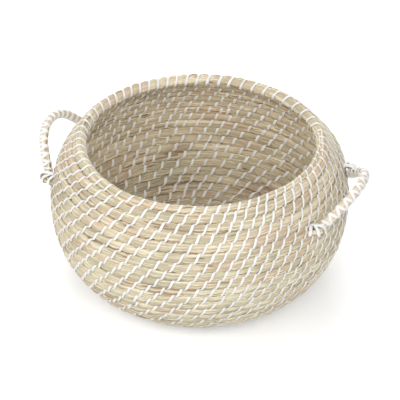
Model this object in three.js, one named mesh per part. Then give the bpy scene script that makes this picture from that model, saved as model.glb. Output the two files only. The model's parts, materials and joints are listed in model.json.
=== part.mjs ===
// A round storage basket of coiled seagrass with two loop handles.
// Millimetres, +Z up. The origin is on the floor under the centre of the base.
// One long bundle of grass winds out from a starting knot over the base, then up the wall to the rim.
// Each handle is a bundle whose two straight ends turn in lashings on the wall.

import * as THREE from 'three';

// Outline of the basket, given on the centre line of the bundle
const footRadius = 116.5;
const bellyRadius = 194;
const bellyHeight = 116;
const rimRadius = 155;
const rimHeight = 206;
const shoulderSweep = THREE.MathUtils.degToRad(55.3);

// Coiled bundle
const bundleThickness = 12.3;
const courseSpacing = 12.3;
const courseGap = 0.6;
const coilSides = 6;
const stepsPerRound = 24;
const rimEndAzimuth = THREE.MathUtils.degToRad(30);
const coilJoinGap = 0.3;
const straightStartSteps = 2;

// Starting knot in the middle of the base
const knotRadius = 14.5;
const knotClearance = 0.4;

// Thin end of the coil on the rim
const taperSteps = 3;
const taperEndScale = 0.3;

// Handles
const handleThickness = 11.2;
const handleLoopDepth = 48;
const handleFeetWidth = 130;
const handleFootShare = 0.12;
const handleCrownShare = 0.7;
const handleStubLength = 15;
const rightHandleCourse = 5;
const leftHandleCourse = 5;
const handleSides = 8;
const handleSteps = 26;
const rightHandleTilt = THREE.MathUtils.degToRad(47);
const leftHandleTilt = THREE.MathUtils.degToRad(59);

// Strip wound round each handle
const wrapWidth = 3;
const wrapThickness = 1;
const wrapClearance = 0.3;
const wrapTurns = 12;
const wrapStepsPerTurn = 7;
const wrapEndGap = 9;

// Lashings that hold the handle ends to the wall
const lashingThickness = 2.4;
const lashingLength = 11;
const lashingClearance = 0.3;
const lashingSeatGap = 0.3;
const lashingSegments = 16;

const grass = { color: 0xb9a67c, roughness: 0.85, metalness: 0 };
const shadedGrass = { color: 0xa8946b, roughness: 0.85, metalness: 0 };
const strip = { color: 0xf2f0ea, roughness: 0.55, metalness: 0 };

const up = new THREE.Vector3(0, 0, 1);

function mesh(name, geometry, finish) {
  const part = new THREE.Mesh(geometry, new THREE.MeshStandardMaterial(finish));
  part.name = name;
  return part;
}

// Rings of points, the same number in each, joined to one closed tube with flat ends
function closedTube(rings) {
  const count = rings[0].length;
  const points = rings.flat();
  const positions = points.flatMap((point) => [point.x, point.y, point.z]);
  const index = [];
  for (let ring = 0; ring + 1 < rings.length; ring += 1) {
    for (let side = 0; side < count; side += 1) {
      const next = (side + 1) % count;
      const a = ring * count + side;
      const b = ring * count + next;
      const c = a + count;
      const d = b + count;
      index.push(a, b, d, a, d, c);
    }
  }
  const last = (rings.length - 1) * count;
  for (let side = 1; side + 1 < count; side += 1) {
    index.push(0, side + 1, side);
    index.push(last, last + side, last + side + 1);
  }
  const geometry = new THREE.BufferGeometry();
  geometry.setAttribute('position', new THREE.Float32BufferAttribute(positions, 3));
  geometry.setIndex(index);
  geometry.computeVertexNormals();
  return geometry;
}

// Ring between two rings, at a share of the way from the first to the second
function ringBetween(first, second, share) {
  return first.map((point, side) => point.clone().lerp(second[side], share));
}

function leastPointGap(first, second) {
  let least = Infinity;
  for (const point of first) {
    for (const other of second) {
      least = Math.min(least, point.distanceTo(other));
    }
  }
  return least;
}

// Least gap between the points of each ring and those of the ring one turn further on
function leastTurnGap(rings, ringsPerTurn) {
  let least = Infinity;
  for (let ring = 0; ring + ringsPerTurn < rings.length; ring += 1) {
    least = Math.min(least, leastPointGap(rings[ring], rings[ring + ringsPerTurn]));
  }
  return least;
}

// Outline from the middle of the base to the rim, as radius and height of the bundle's centre
function makeOutline() {
  const bundleRadius = bundleThickness / 2;
  const startRadius = knotRadius + knotClearance + straightStartSag() + (courseSpacing - courseGap) / 2;
  const shoulderWidth = (bellyRadius - rimRadius) / (1 - Math.cos(shoulderSweep));
  const shoulderDepth = (rimHeight - bellyHeight) / Math.sin(shoulderSweep);
  const floor = new THREE.LineCurve(
    new THREE.Vector2(startRadius, bundleRadius),
    new THREE.Vector2(footRadius, bundleRadius),
  );
  const bowl = new THREE.EllipseCurve(
    footRadius, bellyHeight, bellyRadius - footRadius, bellyHeight - bundleRadius, -Math.PI / 2, 0,
  );
  const shoulder = new THREE.EllipseCurve(
    bellyRadius - shoulderWidth, bellyHeight, shoulderWidth, shoulderDepth, 0, shoulderSweep,
  );
  const outline = new THREE.CurvePath();
  for (const curve of [floor, bowl, shoulder]) {
    curve.arcLengthDivisions = 1200;
    outline.add(curve);
  }
  return outline;
}

// The coil starts with one straight stretch, which comes this much closer to the axis than its end
function straightStartSag() {
  const start = new THREE.Vector2(knotRadius + knotClearance, 0);
  const angle = 2 * Math.PI * straightStartSteps / stepsPerRound;
  const growth = courseSpacing * straightStartSteps / stepsPerRound;
  const end = new THREE.Vector2(start.x + growth, 0).rotateAround(new THREE.Vector2(), angle);
  return start.x - Math.abs(start.cross(end)) / start.distanceTo(end);
}

const outline = makeOutline();
const outlineLength = outline.getLength();
const coilSteps = Math.round(outlineLength / courseSpacing * stepsPerRound);
const coilRounds = coilSteps / stepsPerRound;
const floorLength = outline.curves[0].getLength();

function coilAzimuth(round) {
  return rimEndAzimuth - 2 * Math.PI * (coilRounds - round);
}

function outlinePoint(round) {
  return outline.getPoint(THREE.MathUtils.clamp(round / coilRounds, 0, 1));
}

// Unit vector along the outline towards the next course
function outlineDirection(round) {
  const step = 0.02;
  const before = outlinePoint(Math.max(round - step, 0));
  const after = outlinePoint(Math.min(round + step, coilRounds));
  return after.sub(before).normalize();
}

// How thick the bundle is, as a share of its full thickness: it thins out over the last steps
function coilScale(round) {
  const left = (coilRounds - round) * stepsPerRound / taperSteps;
  return THREE.MathUtils.lerp(taperEndScale, 1, Math.min(left, 1));
}

// Six-sided section in the upright plane through the axis: corners meet the neighbouring
// courses, flats face in and out of the basket
function coilRing(round) {
  const halfWidth = (courseSpacing - courseGap) / 2;
  const halfHeight = bundleThickness / 2 / Math.sin(Math.PI / 3);
  const along = outlineDirection(round);
  const scale = coilScale(round);
  const centre = outlinePoint(round).addScaledVector(along, halfWidth * (scale - 1));
  const azimuth = coilAzimuth(round);
  const ring = [];
  for (let side = 0; side < coilSides; side += 1) {
    const angle = 2 * Math.PI * side / coilSides;
    const across = halfWidth * scale * Math.cos(angle);
    const outward = halfHeight * scale * Math.sin(angle);
    const radius = centre.x + along.x * across + along.y * outward;
    const height = centre.y + along.y * across - along.x * outward;
    ring.push(new THREE.Vector3(radius * Math.cos(azimuth), radius * Math.sin(azimuth), height));
  }
  return ring;
}

// Rings of the whole coil, divided at the foot into the base and the wall
function coilRings() {
  const rings = [];
  for (let step = 0; step <= coilSteps; step += 1) {
    rings.push(coilRing(step / stepsPerRound));
  }
  const joinStep = Math.round(floorLength / outlineLength * coilSteps);
  const before = rings[joinStep];
  const after = rings[joinStep + 1];
  const joinShare = coilJoinGap / before[0].distanceTo(after[0]) / 2;
  const base = rings.slice(0, joinStep + 1);
  base.splice(1, straightStartSteps - 1);
  base.push(ringBetween(before, after, 0.5 - joinShare));
  const wall = [ringBetween(before, after, 0.5 + joinShare), ...rings.slice(joinStep + 1)];
  console.log('least gap between courses, mm:', leastTurnGap(rings, stepsPerRound).toFixed(3));
  return { base, wall };
}

// Tight start of the coil: a puck whose side follows the first turn, with a step at the coil's end
function startingKnotGeometry() {
  const halfWidth = (courseSpacing - courseGap) / 2;
  const inset = halfWidth + knotClearance;
  const startAzimuth = coilAzimuth(0);
  const points = [new THREE.Vector2(outlinePoint(0).x - inset, 0)];
  for (let step = straightStartSteps; step < stepsPerRound; step += 1) {
    const radius = outlinePoint(step / stepsPerRound).x - inset;
    const angle = 2 * Math.PI * step / stepsPerRound;
    points.push(new THREE.Vector2(radius * Math.cos(angle), radius * Math.sin(angle)));
  }
  points.push(new THREE.Vector2(outlinePoint(1).x - inset, -coilJoinGap));
  points.push(new THREE.Vector2(outlinePoint(0).x - inset, -coilJoinGap));
  const geometry = new THREE.ExtrudeGeometry(new THREE.Shape(points), {
    depth: bundleThickness,
    bevelEnabled: false,
  });
  geometry.rotateZ(startAzimuth);
  return geometry;
}

// Course that a handle is lashed to, counted down from the rim at the handle's own azimuth
function handleRound(azimuth, course) {
  const roundsToRim = THREE.MathUtils.euclideanModulo(rimEndAzimuth - azimuth, 2 * Math.PI) / (2 * Math.PI);
  return coilRounds - roundsToRim - course;
}

const lashingInnerRadius = (handleThickness / 2 + lashingClearance) / Math.cos(Math.PI / lashingSegments);
const lashingOuterRadius = lashingInnerRadius + lashingThickness;
const lashingOffset = (handleFeetWidth + handleStubLength) / 2;

// Distance from the basket's axis to the hinge axis. The lashings' near ends lie on a flat facet of
// the wall, and the courses next to the handle's own one may stand out further than it does.
function hingeDistance(round) {
  const facetAngle = 3 * Math.PI / stepsPerRound;
  const facetShare = Math.cos(Math.PI / stepsPerRound);
  const nearEnd = lashingOffset - lashingLength / 2;
  const axisHeight = outlinePoint(round).y;
  let distance = 0;
  for (let near = round - 1; near <= round + 1; near += 0.05) {
    const along = outlineDirection(near);
    const wall = outlinePoint(near);
    const radius = wall.x + along.y * bundleThickness / 2;
    const rise = wall.y - along.x * bundleThickness / 2 - axisHeight;
    if (Math.abs(rise) < lashingOuterRadius) {
      const reach = radius * facetShare + lashingSeatGap - nearEnd * Math.sin(facetAngle);
      const bulge = Math.sqrt(lashingOuterRadius ** 2 - rise ** 2);
      distance = Math.max(distance, reach / Math.cos(facetAngle) + bulge);
    }
  }
  return distance;
}

// Centre line of a handle in its own frame: X away from the wall, Y along the hinge axis
function handlePath() {
  const feet = handleFeetWidth / 2;
  const end = feet + handleStubLength;
  const bend = feet * handleFootShare;
  const crown = feet * handleCrownShare;
  const path = new THREE.CurvePath();
  path.add(new THREE.LineCurve3(new THREE.Vector3(0, -end, 0), new THREE.Vector3(0, -feet, 0)));
  path.add(new THREE.CubicBezierCurve3(
    new THREE.Vector3(0, -feet, 0),
    new THREE.Vector3(0, bend - feet, 0),
    new THREE.Vector3(handleLoopDepth, -crown, 0),
    new THREE.Vector3(handleLoopDepth, 0, 0),
  ));
  path.add(new THREE.CubicBezierCurve3(
    new THREE.Vector3(handleLoopDepth, 0, 0),
    new THREE.Vector3(handleLoopDepth, crown, 0),
    new THREE.Vector3(0, feet - bend, 0),
    new THREE.Vector3(0, feet, 0),
  ));
  path.add(new THREE.LineCurve3(new THREE.Vector3(0, feet, 0), new THREE.Vector3(0, end, 0)));
  return path;
}

// Ring round the handle's centre line, in the plane square to it
function handleFrame(path, distance) {
  const share = THREE.MathUtils.clamp(distance / path.getLength(), 0, 1);
  const centre = path.getPoint(share);
  const along = path.getTangent(share).normalize();
  const outward = along.clone().cross(up).normalize();
  return { centre, along, outward };
}

function handleCoreGeometry() {
  const path = handlePath();
  const length = path.getLength();
  const radius = handleThickness / 2;
  const loopLength = length - 2 * handleStubLength;
  const distances = [0];
  for (let step = 0; step <= handleSteps; step += 1) {
    distances.push(handleStubLength + loopLength * step / handleSteps);
  }
  distances.push(length);
  const rings = distances.map((distance) => {
    const { centre, outward } = handleFrame(path, distance);
    const ring = [];
    for (let side = 0; side < handleSides; side += 1) {
      const angle = 2 * Math.PI * side / handleSides;
      const point = centre.clone();
      point.addScaledVector(outward, radius * Math.cos(angle));
      point.addScaledVector(up, -radius * Math.sin(angle));
      ring.push(point);
    }
    return ring;
  });
  return closedTube(rings);
}

// Flat strip wound round the loop of a handle, from one foot to the other
function handleWrapGeometry(name) {
  const path = handlePath();
  const start = handleStubLength + wrapEndGap;
  const span = path.getLength() - 2 * start;
  const inner = (handleThickness / 2 + wrapClearance) / Math.cos(Math.PI / wrapStepsPerTurn);
  const outer = inner + wrapThickness;
  const steps = wrapTurns * wrapStepsPerTurn;
  const rings = [];
  for (let step = 0; step <= steps; step += 1) {
    const angle = 2 * Math.PI * step / wrapStepsPerTurn;
    const distance = start + span * step / steps;
    const corners = [[inner, -1], [outer, -1], [outer, 1], [inner, 1]];
    rings.push(corners.map(([radius, edge]) => {
      const { centre, outward } = handleFrame(path, distance + edge * wrapWidth / 2);
      const point = centre.clone();
      point.addScaledVector(outward, radius * Math.cos(angle));
      point.addScaledVector(up, radius * Math.sin(angle));
      return point;
    }));
  }
  console.log(`least gap between turns of ${name}, mm:`, leastTurnGap(rings, wrapStepsPerTurn).toFixed(3));
  return closedTube(rings);
}

// Collar of strip round a handle end
function lashingGeometry() {
  const half = lashingLength / 2;
  const edge = lashingThickness / 3;
  const profile = [
    new THREE.Vector2(lashingInnerRadius, -half),
    new THREE.Vector2(lashingOuterRadius - edge, -half),
    new THREE.Vector2(lashingOuterRadius, edge - half),
    new THREE.Vector2(lashingOuterRadius, half - edge),
    new THREE.Vector2(lashingOuterRadius - edge, half),
    new THREE.Vector2(lashingInnerRadius, half),
    new THREE.Vector2(lashingInnerRadius, -half),
  ];
  return new THREE.LatheGeometry(profile, lashingSegments);
}

function handleAssembly(side, azimuth, course, tilt) {
  const round = handleRound(azimuth, course);
  const seat = new THREE.Group();
  seat.rotation.z = azimuth;
  const hinge = new THREE.Group();
  hinge.position.set(hingeDistance(round), 0, outlinePoint(round).y);
  const loop = new THREE.Group();
  loop.rotation.y = -tilt;
  loop.add(mesh(`${side}_handle_core`, handleCoreGeometry(), grass));
  loop.add(mesh(`${side}_handle_wrap`, handleWrapGeometry(`${side}_handle_wrap`), strip));
  hinge.add(loop);
  for (const [end, sign] of [['first', -1], ['second', 1]]) {
    const lashing = mesh(`${side}_handle_${end}_lashing`, lashingGeometry(), strip);
    lashing.position.y = sign * lashingOffset;
    hinge.add(lashing);
  }
  seat.add(hinge);
  console.log(
    `${side} hinge axis: distance`, hinge.position.x.toFixed(3), 'height', hinge.position.z.toFixed(3),
  );
  return seat;
}

const basket = new THREE.Group();
const coil = coilRings();
basket.add(mesh('starting_knot', startingKnotGeometry(), shadedGrass));
basket.add(mesh('base_coil', closedTube(coil.base), shadedGrass));
basket.add(mesh('wall_coil', closedTube(coil.wall), grass));
basket.add(handleAssembly('right', 0, rightHandleCourse, rightHandleTilt));
basket.add(handleAssembly('left', Math.PI, leftHandleCourse, leftHandleTilt));

export default basket;
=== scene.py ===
"""Looks of a round basket of coiled seagrass with two loop handles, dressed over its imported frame.

The bundle of grass follows the same outline and the same turns as the frame's coil. Every course is a
bundle of separate stems, bound to the course below by slanted stitches of a flat white strip. All sizes
are in metres, with +Z up and the origin on the floor under the middle of the base.
"""

import json
import logging
import math
from dataclasses import dataclass, field
from enum import Enum
from functools import cached_property

import bpy
import numpy as np
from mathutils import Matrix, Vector


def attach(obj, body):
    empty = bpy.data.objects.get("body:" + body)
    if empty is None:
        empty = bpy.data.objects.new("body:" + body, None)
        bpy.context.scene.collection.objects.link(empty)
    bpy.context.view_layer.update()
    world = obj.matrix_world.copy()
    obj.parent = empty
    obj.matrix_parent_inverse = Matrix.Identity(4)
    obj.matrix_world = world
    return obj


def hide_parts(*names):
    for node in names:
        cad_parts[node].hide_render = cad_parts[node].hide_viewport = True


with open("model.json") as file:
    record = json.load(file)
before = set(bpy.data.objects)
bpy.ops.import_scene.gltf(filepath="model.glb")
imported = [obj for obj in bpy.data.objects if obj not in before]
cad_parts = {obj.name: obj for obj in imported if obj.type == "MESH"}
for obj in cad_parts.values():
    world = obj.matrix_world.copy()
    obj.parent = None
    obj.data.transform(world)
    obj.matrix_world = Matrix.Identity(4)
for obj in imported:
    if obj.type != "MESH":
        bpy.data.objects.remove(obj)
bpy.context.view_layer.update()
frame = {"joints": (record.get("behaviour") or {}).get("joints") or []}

LOG = logging.getLogger("basket")

WHITE = (1.0, 1.0, 1.0, 1.0)

# The stem map gives every stem a number. The bundles count theirs from 0, the loose stems from these.
STEM_MAP = "stems"
OUTER_STEMS_FROM = 1000
INNER_STEMS_FROM = 5000

Color = tuple[float, float, float]
Range = tuple[float, float, float, float]
Outline = tuple[tuple[float, float], ...]


class Side(Enum):
    """The two handles, named as the frame names them, with the way each one points from the axis."""

    RIGHT = ("right", 1.0)
    LEFT = ("left", -1.0)

    @property
    def word(self) -> str:
        """Name used in the frame's nodes and bodies."""
        return self.value[0]

    @property
    def sign(self) -> float:
        """Direction of the handle along the X axis."""
        return self.value[1]


class Slot(Enum):
    """The record's material slots."""

    GRASS = "grass"
    STRIP = "strip"


# Mesh building


def tube_faces(tubes: int, rings: int, sides: int) -> tuple[np.ndarray, np.ndarray]:
    """Works out the faces of equal closed tubes whose points are stored ring after ring.

    Args:
        tubes: How many tubes there are.
        rings: Rings in each tube.
        sides: Points in each ring.

    Returns:
        The vertex number of every face corner, and the number of corners of every face.
    """
    ring = np.arange(rings - 1)[:, None]
    side = np.arange(sides)[None, :]
    here = ring * sides + side
    beside = ring * sides + (side + 1) % sides
    walls = np.stack([here, beside, beside + sides, here + sides], -1).reshape(-1)
    first_cap = np.arange(sides)[::-1]
    last_cap = (rings - 1) * sides + np.arange(sides)
    one = np.concatenate([walls, first_cap, last_cap])
    offsets = np.arange(tubes)[:, None] * rings * sides
    sizes = np.concatenate([np.full((rings - 1) * sides, 4), [sides, sides]])
    return (offsets + one[None, :]).reshape(-1), np.tile(sizes, tubes)


def tube_map(across: np.ndarray, along: np.ndarray) -> np.ndarray:
    """Lays out the stem map of equal tubes: across counts stems, along is a length.

    Args:
        across: Shape (sides + 1), the coordinate across at each point of a ring and at its closing point.
        along: Shape (tubes, rings), the coordinate along at each ring.

    Returns:
        One pair for every face corner, in the order of tube_faces.
    """
    tubes, rings = along.shape
    sides = len(across) - 1
    u0 = np.broadcast_to(across[:-1], (tubes, rings - 1, sides))
    u1 = np.broadcast_to(across[1:], (tubes, rings - 1, sides))
    v0 = np.broadcast_to(along[:, :-1, None], u0.shape)
    v1 = np.broadcast_to(along[:, 1:, None], u0.shape)
    corners = [np.stack(pair, -1) for pair in ((u0, v0), (u1, v0), (u1, v1), (u0, v1))]
    walls = np.stack(corners, 3).reshape(tubes, -1, 2)
    first, last = (
        np.stack([np.broadcast_to(ring, (tubes, sides)), np.repeat(end, sides, 1)], -1)
        for ring, end in ((across[:-1][::-1], along[:, :1]), (across[:-1], along[:, -1:]))
    )
    return np.concatenate([walls, first, last], 1).reshape(-1, 2)


def stem_angles(stems: int) -> np.ndarray:
    """Angles of the points round a bundle: one in each groove between two stems, and one on each stem."""
    return 2 * math.pi * np.arange(stems * 2) / (stems * 2)


def stem_numbers(stems: int) -> np.ndarray:
    """Stem map across those points and the closing one."""
    return np.arange(stems * 2 + 1) / 2


def strip_across(points: int) -> np.ndarray:
    """Stem map across the points of a strip's outline and the closing one."""
    return np.linspace(0.0, 1.0, points + 1)


def face_outwards(mesh: bpy.types.Mesh) -> None:
    """Turns all faces of a closed mesh round where they face its inside.

    Args:
        mesh: The mesh.
    """
    mesh.calc_loop_triangles()
    corners = np.empty(len(mesh.loop_triangles) * 3, np.int32)
    mesh.loop_triangles.foreach_get("vertices", corners)
    places = np.empty(len(mesh.vertices) * 3, np.float32)
    mesh.vertices.foreach_get("co", places)
    places = places.reshape(-1, 3).astype(float)
    first, second, third = (places[corners[start::3]] - places.mean(0) for start in range(3))
    if np.sum(first * np.cross(second, third)) < 0:
        mesh.flip_normals()


def tube_object(name: str, points: np.ndarray, across: np.ndarray, along: np.ndarray) -> bpy.types.Object:
    """Makes one object from equal closed tubes.

    Args:
        name: Name of the object.
        points: Shape (tubes, rings, sides, 3), in metres, with all the rings wound the same way.
        across: Shape (sides + 1), the stem map across a ring.
        along: Shape (tubes, rings), the stem map along each tube.

    Returns:
        The new object, linked to the scene.
    """
    tubes, rings, sides, _ = points.shape
    corners, sizes = tube_faces(tubes, rings, sides)
    mesh = bpy.data.meshes.new(name)
    mesh.vertices.add(tubes * rings * sides)
    mesh.vertices.foreach_set("co", points.astype(np.float32).reshape(-1))
    mesh.loops.add(len(corners))
    mesh.loops.foreach_set("vertex_index", corners.astype(np.int32))
    mesh.polygons.add(len(sizes))
    starts = np.concatenate([[0], np.cumsum(sizes)[:-1]])
    mesh.polygons.foreach_set("loop_start", starts.astype(np.int32))
    mesh.uv_layers.new(name=STEM_MAP)
    mesh.uv_layers[STEM_MAP].data.foreach_set("uv", tube_map(across, along).astype(np.float32).reshape(-1))
    mesh.polygons.foreach_set("use_smooth", np.ones(len(sizes), bool))
    mesh.update(calc_edges=True)
    mesh.validate()
    face_outwards(mesh)
    made = bpy.data.objects.new(name, mesh)
    bpy.context.scene.collection.objects.link(made)
    return made


def numbered_tubes(name: str, points: np.ndarray, number: np.ndarray, along: np.ndarray) -> bpy.types.Object:
    """Makes one object from equal closed tubes that each have a stem number of their own.

    Args:
        name: Name of the object.
        points: Shape (tubes, rings, sides, 3), in metres.
        number: Shape (tubes), the stem number of each tube.
        along: Shape (tubes, rings), the stem map along each tube.

    Returns:
        The new object, linked to the scene.
    """
    sides = points.shape[2]
    made = tube_object(name, points, np.full(sides + 1, 0.5), along)
    layer = made.data.uv_layers[STEM_MAP].data
    pairs = np.empty(len(layer) * 2, np.float32)
    layer.foreach_get("uv", pairs)
    corners = len(layer) // len(number)
    pairs[0::2] += np.repeat(number, corners)
    layer.foreach_set("uv", pairs)
    return made


def dress(piece: bpy.types.Object, body: str, material: bpy.types.Material) -> None:
    """Gives a piece its material, and lets it ride on a body.

    Args:
        piece: The object.
        body: Name of the body that carries it.
        material: Its material.
    """
    piece.data.materials.append(material)
    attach(piece, body)
    LOG.info("%s: %d faces, rides on %s", piece.name, len(piece.data.polygons), body)


def smooth_noise(rng: np.random.Generator, places: np.ndarray, length: float, rows: int) -> np.ndarray:
    """Smooth random wander, one row for each of several stems.

    Args:
        rng: Seeded generator.
        places: Distances along the run, rising or falling evenly enough to be looked up.
        length: Distance over which the wander changes.
        rows: How many rows to make.

    Returns:
        Shape (places, rows), mostly between -1 and 1.
    """
    low = places.min()
    knots = int((places.max() - low) / length) + 4
    values = rng.uniform(-1.0, 1.0, (knots, rows))
    spot = (places - low) / length
    cell = np.floor(spot).astype(int)
    share = (spot - cell)[..., None]
    ease = share * share * (3.0 - 2.0 * share)
    return values[cell] * (1.0 - ease) + values[cell + 1] * ease


# Node helpers


class NodeSheet:
    """Short ways to add and wire nodes in one node tree."""

    def __init__(self, tree: bpy.types.NodeTree) -> None:
        """Keeps the tree that the nodes go into."""
        self.tree = tree

    def add(self, kind: str, **settings: object) -> bpy.types.Node:
        """Adds a node and sets its properties.

        Args:
            kind: Blender's type name of the node.
            settings: Properties to set on it.

        Returns:
            The node.
        """
        node = self.tree.nodes.new(kind)
        for name, value in settings.items():
            setattr(node, name, value)
        return node

    def link(self, source: object, target: object) -> None:
        """Wires an output to an input, or sets the input where the source is a plain value.

        Args:
            source: The output, or the value.
            target: The input.
        """
        if isinstance(source, bpy.types.NodeSocket):
            self.tree.links.new(source, target)
        else:
            target.default_value = source

    def math(self, operation: str, *values: object) -> bpy.types.NodeSocket:
        """Adds a math node.

        Args:
            operation: Name of the operation.
            values: Sockets or numbers for its inputs, in order.

        Returns:
            Its output.
        """
        node = self.add("ShaderNodeMath", operation=operation)
        for value, target in zip(values, node.inputs):
            self.link(value, target)
        return node.outputs[0]

    def mix(self, factor: object, first: object, second: object, blend: str = "MIX") -> bpy.types.NodeSocket:
        """Mixes two colours.

        Args:
            factor: Share of the second colour.
            first: First colour, a socket or four numbers.
            second: Second colour, a socket or four numbers.
            blend: Name of the blend.

        Returns:
            The mixed colour.
        """
        node = self.add("ShaderNodeMix", data_type="RGBA", blend_type=blend)
        first_color, second_color, mixed = node.inputs[6], node.inputs[7], node.outputs[2]
        self.link(factor, node.inputs["Factor"])
        self.link(first, first_color)
        self.link(second, second_color)
        return mixed

    def remap(
        self, value: object, low: float, high: float, to_low: object, to_high: object
    ) -> bpy.types.NodeSocket:
        """Maps a range of values smoothly to another, kept inside it.

        Args:
            value: The value.
            low: Start of its range.
            high: End of its range.
            to_low: Result at the start.
            to_high: Result at the end.

        Returns:
            The mapped value.
        """
        node = self.add("ShaderNodeMapRange", interpolation_type="SMOOTHSTEP")
        for given, target in zip((value, low, high, to_low, to_high), node.inputs):
            self.link(given, target)
        return node.outputs[0]

    def vector(self, x: object, y: object, z: object = 0.0) -> bpy.types.NodeSocket:
        """Joins three values to a vector.

        Args:
            x: First value.
            y: Second value.
            z: Third value.

        Returns:
            The vector.
        """
        node = self.add("ShaderNodeCombineXYZ")
        for given, target in zip((x, y, z), node.inputs):
            self.link(given, target)
        return node.outputs[0]

    def stretched(self, across: object, along: object, scale: tuple[float, float]) -> bpy.types.NodeSocket:
        """Scales the two coordinates of the stem map, each by its own factor.

        Args:
            across: Coordinate across.
            along: Coordinate along.
            scale: Factor of each.

        Returns:
            The scaled coordinates as a vector.
        """
        return self.vector(self.math("MULTIPLY", across, scale[0]), self.math("MULTIPLY", along, scale[1]))

    def noise(self, place: object, detail: float, dimensions: str = "2D") -> bpy.types.NodeSocket:
        """Adds a soft noise.

        Args:
            place: Where it is read: a vector, or a value for a noise of one dimension.
            detail: Its detail.
            dimensions: Its dimensions, 1D or 2D.

        Returns:
            Its value.
        """
        node = self.add("ShaderNodeTexNoise", noise_dimensions=dimensions)
        self.link(place, node.inputs["W" if dimensions == "1D" else "Vector"])
        node.inputs["Scale"].default_value = 1.0
        node.inputs["Detail"].default_value = detail
        return node.outputs[0]

    def bump(self, height: bpy.types.NodeSocket, strength: float, depth: float) -> bpy.types.NodeSocket:
        """Adds a relief.

        Args:
            height: Its height.
            strength: How much of it shows.
            depth: Its depth in metres.

        Returns:
            The normal.
        """
        node = self.add("ShaderNodeBump")
        node.inputs["Strength"].default_value = strength
        node.inputs["Distance"].default_value = depth
        self.link(height, node.inputs["Height"])
        return node.outputs[0]

    def surface(self, shader: bpy.types.Node) -> None:
        """Ends a material with its shader."""
        output = self.add("ShaderNodeOutputMaterial")
        self.link(shader.outputs[0], output.inputs["Surface"])


def new_group(name: str, inputs: list[tuple[str, str, object]], outputs: list[tuple[str, str]]) -> tuple:
    """Starts a shader node group.

    Args:
        name: Name of the group.
        inputs: Name, socket type and default of each input.
        outputs: Name and socket type of each output.

    Returns:
        The group, a sheet for its nodes, its input node and its output node.
    """
    group = bpy.data.node_groups.new(name, "ShaderNodeTree")
    for title, kind, default in inputs:
        socket = group.interface.new_socket(name=title, in_out="INPUT", socket_type=kind)
        if default is not None:
            socket.default_value = default
    for title, kind in outputs:
        group.interface.new_socket(name=title, in_out="OUTPUT", socket_type=kind)
    sheet = NodeSheet(group)
    return group, sheet, sheet.add("NodeGroupInput"), sheet.add("NodeGroupOutput")


def new_material(name: str) -> tuple[bpy.types.Material, NodeSheet]:
    """Starts a material.

    Args:
        name: Name of the material.

    Returns:
        The material and a sheet for its nodes.
    """
    made = bpy.data.materials.new(name)
    made.use_nodes = True
    made.node_tree.nodes.clear()
    return made, NodeSheet(made.node_tree)


# The finishes


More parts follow.
